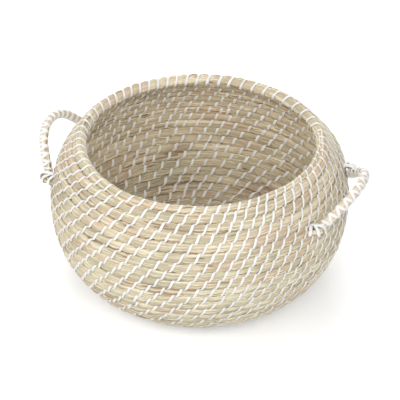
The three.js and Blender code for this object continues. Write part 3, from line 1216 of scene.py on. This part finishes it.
@dataclass
class SewnStrip:
    """The white strip: one flat band for each stitch, over the outside, the top and the inside.

    Each band comes out of the course below, a little under the groove, and goes back into it inside. The
    bridge, the hole and the tuck are places on its ends: out from the bundle's centre, and down from it. The
    section is given as shares of half the width and of the thickness. Angles are in degrees.
    """

    course: CoilCourse
    plan: StitchPlan
    bundle: GrassBundle
    first_stitch: float = -0.6
    width: float = 0.0034
    inner_gain: float = 0.3
    inner_side: tuple[float, float] = (90.0, 135.0)
    thickness: float = 0.0008
    section: Outline = (
        (0.85, 0.0), (1.0, 0.45), (0.72, 0.92), (0.0, 1.08), (-0.72, 0.92), (-1.0, 0.45), (-0.85, 0.0),
    )
    sunk: float = 0.00045
    steps: int = 15
    main_angles: tuple[float, float] = (-42.0, 207.0)
    groove_bridge: tuple[float, float] = (0.0050, 0.0062)
    hole: tuple[float, float] = (0.0038, 0.0072)
    tuck: tuple[float, float] = (0.0020, 0.0080)
    end_follow: tuple[float, ...] = (-98.0, -88.0, -64.0)
    inner_dive: float = 0.74
    width_spread: float = 0.12
    tilt_spread: float = 0.12
    place_spread: float = 0.03
    map_length: float = 0.04
    map_step: float = 0.37
    seed: int = 7

    def path(self) -> tuple[np.ndarray, np.ndarray, np.ndarray]:
        """Path of a band round the bundle.

        Returns:
            Its angle round the bundle, its distance from the centre, and the angle that its lean follows.
        """
        main = np.radians(np.linspace(*self.main_angles, self.steps))
        reach = self.bundle.reach(main, self.course.thickness / 2) - self.sunk
        outside = np.array([self.tuck, self.hole, self.groove_bridge])
        outside_angle = np.arctan2(-outside[:, 1], outside[:, 0])
        outside_reach = np.hypot(outside[:, 0], outside[:, 1])
        angle = np.concatenate([outside_angle, main, math.pi - outside_angle[::-1]])
        distance = np.concatenate([outside_reach, reach, outside_reach[::-1] * self.inner_dive])
        ends = np.radians(self.end_follow)
        return angle, distance, np.concatenate([ends, main, math.pi - ends[::-1]])

    def bands(self, places: np.ndarray) -> np.ndarray:
        """Points of the stitches' bands.

        Args:
            places: Places of the stitches, in rounds.

        Returns:
            Shape (stitches, steps, section points, 3).
        """
        rng = np.random.default_rng(self.seed)
        count = len(places)
        interval = self.plan.interval(self.course, places)
        place = places + rng.uniform(-self.place_spread, self.place_spread, count) * interval
        wide = self.width * (1.0 + rng.uniform(-self.width_spread, self.width_spread, count))
        tilt = 1.0 + rng.uniform(-self.tilt_spread, self.tilt_spread, count)
        angle, distance, follow = self.path()
        section = np.array(self.section)
        around, _ = self.course.centre(place)
        per_round = 2 * math.pi * around
        lean = self.plan.shift(self.course, place[:, None], follow[None, :]) * tilt[:, None]
        start, full = np.radians(self.inner_side)
        inward = np.clip((follow - start) / (full - start), 0.0, 1.0)
        broad = wide[:, None, None] * (1.0 + self.inner_gain * inward[None, :, None])
        edge = section[None, None, :, 0] * broad / 2 / per_round[:, None, None]
        rounds = np.minimum(place[:, None, None] + lean[:, :, None] + edge, self.course.rounds)
        radius = distance[None, :, None] + section[None, None, :, 1] * self.thickness
        angles = np.broadcast_to(angle[None, :, None], rounds.shape)
        return self.course.surface(rounds, angles, np.broadcast_to(radius, rounds.shape))

    def build(self, material: bpy.types.Material) -> None:
        """Makes the stitches of each band of courses.

        Args:
            material: Material of the strip.
        """
        places = self.plan.places(self.course)
        places = places[places > self.first_stitch]
        bands = self.bands(places)
        lengths = np.linspace(0.0, self.map_length, bands.shape[1])
        cuts = {"base_stitches": (self.first_stitch, self.course.foot_round)}
        for band, ends in self.course.wall_bands().items():
            cuts[f"wall_stitches_{band}"] = ends
        for name, (low, high) in cuts.items():
            chosen = (places >= low) & (places < high)
            along = lengths[None, :] + np.flatnonzero(chosen)[:, None] * self.map_step
            piece = tube_object(name, bands[chosen], strip_across(bands.shape[2]), along)
            dress(piece, "basket", material)


# The handles


def hinge(side: Side) -> list[float]:
    """Place of the hinge that a handle turns about, from the frame."""
    return next(joint for joint in frame["joints"] if joint["name"] == f"{side.word}_handle_swing")["pos_m"]


def from_hinge(side: Side, out: np.ndarray, along: np.ndarray, rise: np.ndarray) -> np.ndarray:
    """Turns distances from a handle's hinge into places in the basket.

    Args:
        side: The handle.
        out: Level distance out from the hinge axis.
        along: Distance along the hinge axis, with its sign.
        rise: Height over the hinge axis.

    Returns:
        The points, shape (..., 3).
    """
    x, y, z = hinge(side)
    out, along, rise = np.broadcast_arrays(out, along, rise)
    return np.stack([x + side.sign * out, y + side.sign * along, z + rise], -1)


@dataclass(frozen=True)
class HandleRun:
    """Centre line of a handle in its own plane: out from the wall and along the hinge axis."""

    loop_depth: float = 0.048
    feet_width: float = 0.130
    stub_length: float = 0.015
    bend_share: float = 0.12
    crown_share: float = 0.7
    samples: int = 400
    heading_step: float = 0.002

    def outline(self) -> np.ndarray:
        """Samples the centre line, from one end to the other.

        Returns:
            Shape (points, 2): distance out, distance along the hinge axis.
        """
        feet = self.feet_width / 2
        end = feet + self.stub_length
        t = np.linspace(0.0, 1.0, self.samples)[:, None]
        corners = np.array([
            (0.0, -feet), (0.0, feet * (self.bend_share - 1.0)),
            (self.loop_depth, -feet * self.crown_share), (self.loop_depth, 0.0),
        ])
        weights = np.concatenate([(1 - t) ** 3, 3 * t * (1 - t) ** 2, 3 * t * t * (1 - t), t ** 3], 1)
        rise = weights @ corners
        fall = rise[::-1] * (1.0, -1.0)
        return np.concatenate([[(0.0, -end)], rise, fall[1:], [(0.0, end)]])

    def at(self, distance: np.ndarray) -> tuple[np.ndarray, np.ndarray]:
        """Finds the centre line.

        Args:
            distance: Distance along the run.

        Returns:
            The place on the line and its unit direction there.
        """
        line = self.outline()
        travel = np.concatenate([[0.0], np.cumsum(np.hypot(*np.diff(line, axis=0).T))])
        centre, ahead, behind = (
            np.stack([np.interp(spot, travel, part) for part in line.T], -1)
            for spot in (distance, distance + self.heading_step, distance - self.heading_step)
        )
        direction = ahead - behind
        return centre, direction / np.linalg.norm(direction, axis=-1, keepdims=True)

    def length(self) -> float:
        """Length of the centre line from end to end."""
        return float(np.hypot(*np.diff(self.outline(), axis=0).T).sum())


@dataclass
class LoopHandle:
    """One handle: a bundle of stems bent to a loop, and two strips that cross over it in a zigzag.

    The strip's section is given as shares of half its width and of its thickness.
    """

    side: Side
    tilt: float
    run: HandleRun = field(default_factory=HandleRun)
    radius: float = 0.0058
    stems: int = 14
    stem_wander: float = 0.0003
    wander_length: float = 0.02
    valley_depth: float = 0.0005
    ring_spacing: float = 0.0022
    twist_length: float = 0.16
    end_cut: float = 0.0052
    end_length: float = 0.004
    end_share: float = 0.3
    strip_width: float = 0.0038
    strip_thickness: float = 0.0006
    strip_section: Outline = ((-1.0, 0.0), (-0.8, 1.0), (0.0, 1.15), (0.8, 1.0), (1.0, 0.0))
    strip_sunk: float = 0.0001
    strip_margin: float = 0.0046
    strip_map_scale: float = 2.0
    zigzag: float = 0.013
    steps_per_turn: int = 20
    crossing_sharpness: int = 8
    seed: int = 3

    def place(self, out: np.ndarray, along: np.ndarray, up: np.ndarray) -> np.ndarray:
        """Turns the handle's own coordinates into the basket's.

        Args:
            out: Distance out in the handle's plane.
            along: Distance along the hinge axis.
            up: Distance square to the handle's plane.

        Returns:
            The points, shape (..., 3).
        """
        level = out * math.cos(self.tilt) - up * math.sin(self.tilt)
        rise = out * math.sin(self.tilt) + up * math.cos(self.tilt)
        return from_hinge(self.side, level, along, rise)

    def around(self, distance: np.ndarray, angle: np.ndarray, radius: np.ndarray) -> np.ndarray:
        """Points round the handle's centre line.

        Args:
            distance: Distance along the run.
            angle: Angle round the bundle, from the outer edge of the loop towards its upper face.
            radius: Distance from the centre line.

        Returns:
            The points, shape (..., 3).
        """
        centre, direction = self.run.at(distance)
        side_out, side_along = direction[..., 1], -direction[..., 0]
        reach = radius * np.cos(angle)
        out = centre[..., 0] + side_out * reach
        along = centre[..., 1] + side_along * reach
        return self.place(out, along, radius * np.sin(angle))

    def grass(self) -> tuple[np.ndarray, np.ndarray]:
        """Rings of the bundle of stems.

        Returns:
            The points, and the length at each ring.
        """
        total = self.run.length()
        count = int(total / self.ring_spacing)
        distance = np.linspace(self.end_cut, total - self.end_cut, count)
        rng = np.random.default_rng(self.seed + (self.side is Side.LEFT))
        lift = smooth_noise(rng, distance, self.wander_length, self.stems)
        turn = 2 * math.pi * distance[:, None] / self.twist_length
        angle = -(stem_angles(self.stems)[None, :] + turn)
        radius = np.full(angle.shape, self.radius)
        radius[:, 1::2] += self.stem_wander * lift
        radius[:, 0::2] -= self.valley_depth
        ends = (np.minimum(distance, total - distance) - self.end_cut) / self.end_length
        ends = np.sqrt(1.0 - (1.0 - np.clip(ends, 0.0, 1.0)) ** 2)
        radius *= (self.end_share + (1.0 - self.end_share) * ends)[:, None]
        return self.around(distance[:, None] + 0.0 * angle, angle, radius), distance

    def strip(self, hand: float, over: float) -> tuple[np.ndarray, np.ndarray]:
        """Rings of one strip wound along the loop.

        Args:
            hand: 1 or -1, the way that it winds.
            over: 1 where it passes over the other strip at their crossings, or 0.

        Returns:
            The points, and the length at each ring.
        """
        start = self.run.stub_length + self.strip_margin
        span = self.run.length() - 2 * start
        turns = round(span / self.zigzag)
        share = np.linspace(0.0, 1.0, turns * self.steps_per_turn + 1)
        angle = math.pi / 2 + hand * 2 * math.pi * turns * share
        distance = start + span * share
        section = np.array(self.strip_section)
        crossing = over * self.strip_thickness * np.sin(angle) ** self.crossing_sharpness
        half = self.strip_width / 2
        lead = span / turns / (2 * math.pi)
        slope = math.atan2(lead, self.radius)
        shift = section[None, :, 0] * half * math.cos(slope)
        turn = -hand * section[None, :, 0] * half * math.sin(slope) / self.radius
        radius = self.radius - self.strip_sunk + crossing[:, None] + section[None, :, 1] * self.strip_thickness
        points = self.around(distance[:, None] + shift, angle[:, None] + turn, radius)
        if hand > 0:
            points = points[:, ::-1]
        return points, distance * self.strip_map_scale

    def build(self, grass: bpy.types.Material, strip: bpy.types.Material) -> None:
        """Makes the handle's pieces.

        Args:
            grass: Material of the stems.
            strip: Material of the strips.
        """
        word = self.side.word
        points, lengths = self.grass()
        core = tube_object(f"{word}_handle_grass", points[None], stem_numbers(self.stems), lengths[None])
        dress(core, f"{word}_handle", grass)
        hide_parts(f"{word}_handle_core")
        across = strip_across(len(self.strip_section))
        for name, hand, over in (("under", 1.0, 0.0), ("over", -1.0, 1.0)):
            points, lengths = self.strip(hand, over)
            band = tube_object(f"{word}_handle_strip_{name}", points[None], across, lengths[None])
            dress(band, f"{word}_handle", strip)
            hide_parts(f"{word}_handle_wrap")


@dataclass
class BoundEnd:
    """One end of a handle: the tip of its bundle, bent down to the wall, and the strip that binds it there.

    The strip is drawn taut in a few crossing turns, from the groove over a course to the groove under it. A
    distance along the hinge axis has no sign here: the end's own sign comes in when the points are placed.
    """

    handle: LoopHandle
    course: CoilCourse
    end: int
    turns: int = 4
    width: float = 0.0045
    thickness: float = 0.0006
    section: Outline = ((-1.0, -0.5), (-0.85, 0.5), (0.0, 0.65), (0.85, 0.5), (1.0, -0.5))
    clearance: float = 0.0007
    first_turn: float = 0.0702
    turn_spacing: float = 0.0041
    lean: float = 0.0010
    over: float = 0.7
    grip: float = 0.0058
    bite: float = 0.0035
    steps: int = 16
    strip_map_length: float = 0.06
    strip_map_step: float = 0.41
    tip_start: float = 0.0751
    tip_end: float = 0.0842
    tip_radius: float = 0.0024
    tip_over_wall: float = -0.0014
    tip_rings: int = 12
    tip_bumps: tuple[float, float] = (0.88, 0.97)
    tip_map_scale: float = 1.6
    stems: int = 14
    wall_rounds: float = 9.0
    wall_samples: int = 400
    heading_step: float = 1e-5
    deepest: float = 0.02
    halvings: int = 20

    def wall(self, along: float, rise: float) -> float:
        """Level distance from the hinge axis to the face of the wall.

        Args:
            along: Distance along the hinge axis.
            rise: Height over the hinge axis.

        Returns:
            The distance, below zero towards the basket.
        """
        x, _, z = hinge(self.handle.side)
        top = self.course.rounds
        radii, heights = self.course.centre(np.linspace(top - self.wall_rounds, top, self.wall_samples))
        radius = np.interp(z + rise, heights, radii) + self.course.thickness / 2
        return math.sqrt(radius ** 2 - along ** 2) - abs(x)

    def core(self, along: np.ndarray) -> tuple[np.ndarray, np.ndarray]:
        """Middle and radius of the bundle that is bound.

        Args:
            along: Distance along the hinge axis.

        Returns:
            Its level distance out from the hinge axis, and its radius.
        """
        share = np.clip((along - self.tip_start) / (self.tip_end - self.tip_start), 0.0, 1.0)
        last = self.wall(self.tip_end, 0.0) + self.tip_over_wall
        return last * (share * share), self.handle.radius + (self.tip_radius - self.handle.radius) * share

    def tip(self) -> tuple[np.ndarray, np.ndarray]:
        """Rings of the bundle's tip.

        Returns:
            The points, and the length at each ring.
        """
        along = np.linspace(self.tip_start, self.tip_end, self.tip_rings)
        out, radius = self.core(along)
        heading = np.stack([np.gradient(out), np.gradient(along)], -1)
        heading /= np.linalg.norm(heading, axis=1, keepdims=True)
        angle = -stem_angles(self.stems)
        bumps = radius[:, None] * np.tile(self.tip_bumps, self.stems)[None, :]
        reach = bumps * np.cos(angle)[None, :]
        rise = bumps * np.sin(angle)[None, :]
        ring_out = out[:, None] + heading[:, 1:] * reach
        ring_along = self.end * (along[:, None] - heading[:, :1] * reach)
        return from_hinge(self.handle.side, ring_out, ring_along, self.end * rise), along * self.tip_map_scale

    def heading(self, along: float) -> np.ndarray:
        """Level direction of the bound bundle.

        Args:
            along: Distance along the hinge axis.

        Returns:
            The two parts of the unit direction: out from the hinge axis, and along it.
        """
        step = self.heading_step
        out, _ = self.core(np.array([along - step, along + step]))
        way = np.array([out[1] - out[0], 2 * step])
        return way / np.linalg.norm(way)

    def depth(self, along: float, rise: float) -> float:
        """Distance from the middle of the bound bundle to the face of the wall, square to the bundle.

        Args:
            along: Distance along the hinge axis.
            rise: Height over the hinge axis.

        Returns:
            The distance.
        """
        middle = float(self.core(np.array(along))[0])
        way = self.heading(along)
        near, far = 0.0, self.deepest
        for _ in range(self.halvings):
            half = (near + far) / 2
            if middle - way[1] * half > self.wall(along + way[0] * half, rise):
                near = half
            else:
                far = half
        return near

    def turn_path(self, along: float) -> np.ndarray:
        """Centre line of one turn, in the plane square to the bundle.

        Args:
            along: Distance of the turn along the hinge axis.

        Returns:
            Shape (steps + 4, 2): distance out from the middle of the bundle, and height over it.
        """
        radius = float(self.core(np.array(along))[1]) + self.clearance + self.thickness / 2
        holes = [np.array((-self.depth(along, rise) - self.bite, rise)) for rise in (self.grip, -self.grip)]
        touch = [
            math.atan2(hole[1], hole[0]) + way * math.acos(radius / math.hypot(*hole))
            for hole, way in zip(holes, (-1.0, 1.0))
        ]
        swing = np.linspace(*touch, self.steps)
        arc = radius * np.stack([np.cos(swing), np.sin(swing)], -1)
        return np.concatenate([[holes[0], (holes[0] + arc[0]) / 2], arc, [(holes[1] + arc[-1]) / 2, holes[1]]])

    def turn(self, number: int) -> np.ndarray:
        """Rings of one turn of the strip; every other one leans the other way and lies over its neighbours.

        Args:
            number: Number of the turn, from 0.

        Returns:
            The points, shape (rings, section points, 3).
        """
        upper = number % 2
        section = np.array(self.section)
        offset = self.first_turn + number * self.turn_spacing
        line = self.turn_path(offset)
        heading = np.gradient(line, axis=0)
        heading /= np.linalg.norm(heading, axis=1, keepdims=True)
        lift = (section[None, :, 1] + self.over * upper) * self.thickness
        away = line[:, None, 0] - heading[:, None, 1] * lift
        rise = line[:, None, 1] + heading[:, None, 0] * lift
        lean = np.linspace(-1.0, 1.0, len(line))[:, None] * self.lean * (1 if upper else -1)
        aside = section[None, :, 0] * self.width / 2 + lean
        way = self.heading(offset)
        out = float(self.core(np.array(offset))[0]) + way[1] * away + way[0] * aside
        along = offset - way[0] * away + way[1] * aside
        return from_hinge(self.handle.side, out, self.end * along, rise)

    def build(self, word: str, grass: bpy.types.Material, strip: bpy.types.Material) -> None:
        """Makes the tip and the turns of strip.

        Args:
            word: The frame's word for this end.
            grass: Material of the stems.
            strip: Material of the strip.
        """
        name = f"{self.handle.side.word}_handle_{word}"
        points, lengths = self.tip()
        tip = tube_object(f"{name}_tip", points[None], stem_numbers(self.stems), lengths[None])
        dress(tip, "basket", grass)
        turns = np.stack([self.turn(number) for number in range(self.turns)])
        starts = np.arange(self.turns)[:, None] * self.strip_map_step
        along = np.linspace(0.0, self.strip_map_length, turns.shape[1])[None, :] + starts
        band = tube_object(f"{name}_lashing_strip", turns, strip_across(len(self.section)), along)
        dress(band, "basket", strip)
        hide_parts(f"{name}_lashing")


# The studio


@dataclass(frozen=True)
class Lamp:
    """A square soft lamp that faces the basket. Its angles are in degrees, the azimuth from the camera's side."""

    name: str
    azimuth: float
    elevation: float
    power: float
    size: float = 1.6
    distance: float = 2.4


@dataclass
class Studio:
    """Pale floor, soft light and a camera at the photograph's angle. Angles are in degrees."""

    azimuth: float = 20.0
    elevation: float = 34.9
    distance: float = 2.4
    lens: float = 159.7
    sensor: float = 36.0
    view_depth: float = 50.0
    aim: tuple[float, float, float] = (0.0, 0.0, 0.1)
    aim_right: float = 0.0006
    aim_up: float = 0.0064
    lamps: tuple[Lamp, ...] = (
        Lamp("left", -60.0, 33.0, 21.6),
        Lamp("right", 30.0, 33.0, 14.6),
        Lamp("front", 0.0, 42.0, 17.2),
        Lamp("back", 180.0, 42.0, 31.5),
    )
    floor_half: float = 6.0
    floor_color: Color = (0.88, 0.885, 0.9)
    floor_glow: Range = (0.8, 2.4, 0.29, 1.0)
    world_light: float = 0.3

    def away(self, azimuth: float, elevation: float) -> Vector:
        """Finds a direction from the basket.

        Args:
            azimuth: Its azimuth from the basket's front, in degrees.
            elevation: Its elevation, in degrees.

        Returns:
            The unit direction.
        """
        turn, lift = math.radians(azimuth), math.radians(elevation)
        return Vector((math.sin(turn) * math.cos(lift), -math.cos(turn) * math.cos(lift), math.sin(lift)))

    def stand(self, name: str, data: bpy.types.ID, place: Vector, away: Vector) -> bpy.types.Object:
        """Puts a camera or a lamp in its place.

        Args:
            name: Name of the object.
            data: The camera or the lamp.
            place: Its place.
            away: Direction from what it looks at.

        Returns:
            The new object, linked to the scene.
        """
        made = bpy.data.objects.new(name, data)
        made.location = place
        made.rotation_mode = "QUATERNION"
        made.rotation_quaternion = (-away).to_track_quat("-Z", "Y")
        bpy.context.scene.collection.objects.link(made)
        return made

    def camera(self) -> None:
        """Makes the camera."""
        back = self.away(self.azimuth, self.elevation)
        right = self.away(self.azimuth + 90.0, 0.0)
        aim = Vector(self.aim) + right * self.aim_right + back.cross(right) * self.aim_up
        data = bpy.data.cameras.new("camera")
        data.lens = self.lens
        data.sensor_width = self.sensor
        data.clip_end = self.view_depth
        bpy.context.scene.camera = self.stand("camera", data, aim + back * self.distance, back)

    def light(self, lamp: Lamp) -> None:
        """Makes one lamp.

        Args:
            lamp: The lamp.
        """
        data = bpy.data.lights.new(lamp.name, "AREA")
        data.size = lamp.size
        data.energy = lamp.power
        away = self.away(self.azimuth + lamp.azimuth, lamp.elevation)
        self.stand(lamp.name, data, Vector(self.aim) + away * lamp.distance, away)

    def floor(self) -> None:
        """Makes the pale floor, which the camera sees brighter the farther it is from the basket."""
        half = self.floor_half
        corners = [(-half, -half, 0), (half, -half, 0), (half, half, 0), (-half, half, 0)]
        mesh = bpy.data.meshes.new("floor")
        mesh.from_pydata(corners, [], [(0, 1, 2, 3)])
        floor = bpy.data.objects.new("floor", mesh)
        bpy.context.scene.collection.objects.link(floor)
        made, sheet = new_material("floor")
        diffuse = sheet.add("ShaderNodeBsdfDiffuse")
        diffuse.inputs["Color"].default_value = (*self.floor_color, 1.0)
        glow = sheet.add("ShaderNodeEmission")
        glow.inputs["Color"].default_value = WHITE
        path = sheet.add("ShaderNodeLightPath")
        away = sheet.add("ShaderNodeVectorMath", operation="LENGTH")
        sheet.link(sheet.add("ShaderNodeNewGeometry").outputs["Position"], away.inputs[0])
        strength = sheet.remap(away.outputs["Value"], *self.floor_glow)
        seen = sheet.math("MULTIPLY", path.outputs["Is Camera Ray"], strength)
        sheet.link(seen, glow.inputs["Strength"])
        total = sheet.add("ShaderNodeAddShader")
        sheet.link(diffuse.outputs[0], total.inputs[0])
        sheet.link(glow.outputs[0], total.inputs[1])
        sheet.surface(total)
        mesh.materials.append(made)

    def world(self) -> None:
        """Makes the pale surroundings."""
        world = bpy.data.worlds.new("studio")
        bpy.context.scene.world = world
        world.use_nodes = True
        world.node_tree.nodes.clear()
        sheet = NodeSheet(world.node_tree)
        path = sheet.add("ShaderNodeLightPath")
        seen = sheet.math("MAXIMUM", path.outputs["Is Camera Ray"], path.outputs["Is Glossy Ray"])
        background = sheet.add("ShaderNodeBackground")
        background.inputs["Color"].default_value = WHITE
        sheet.link(sheet.remap(seen, 0.0, 1.0, self.world_light, 1.0), background.inputs["Strength"])
        output = sheet.add("ShaderNodeOutputWorld")
        sheet.link(background.outputs[0], output.inputs["Surface"])

    def build(self) -> None:
        """Makes the whole studio."""
        self.camera()
        self.world()
        self.floor()
        for lamp in self.lamps:
            self.light(lamp)
        bpy.context.scene.view_settings.view_transform = "Standard"


def main() -> None:
    """Builds the basket round its frame and sets it in the studio."""
    logging.basicConfig(level=logging.INFO, format="%(message)s")
    Studio().build()
    tones = StemTones().group()
    # The coil's grass has painted light on its inner face and painted shade at its inner foot.
    coil_grass = GrassFinish(
        "coil_grass", pale=(0.86, 0.755, 0.562), straw=(0.735, 0.62, 0.435), green=(0.635, 0.6, 0.415),
        inner_lift=1.02, inner_foot=0.888, foot_tint=(1.03, 1.065, 1.07),
    ).material(tones)
    handle_grass = GrassFinish(
        "handle_grass", pale=(0.9, 0.83, 0.67), straw=(0.83, 0.73, 0.555), green=(0.72, 0.68, 0.52),
        tan=(0.82, 0.665, 0.5),
    ).material(tones)
    strip = StripFinish("white_strip").material()
    course = CoilCourse()
    plan = StitchPlan()
    bundle = GrassBundle()
    grass = CoiledGrass(course, plan, bundle)
    grass.build(coil_grass)
    LooseStems(grass).build(coil_grass)
    SewnStrip(course, plan, bundle).build(strip)
    for handle in (
        LoopHandle(Side.RIGHT, tilt=math.radians(47.0)),
        LoopHandle(Side.LEFT, tilt=math.radians(59.0), zigzag=0.0108),
    ):
        handle.build(handle_grass, strip)
        for end, word in ((-1, "first"), (1, "second")):
            BoundEnd(handle, course, end).build(word, coil_grass, strip)
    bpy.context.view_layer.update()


if __name__ == "__main__":
    main()
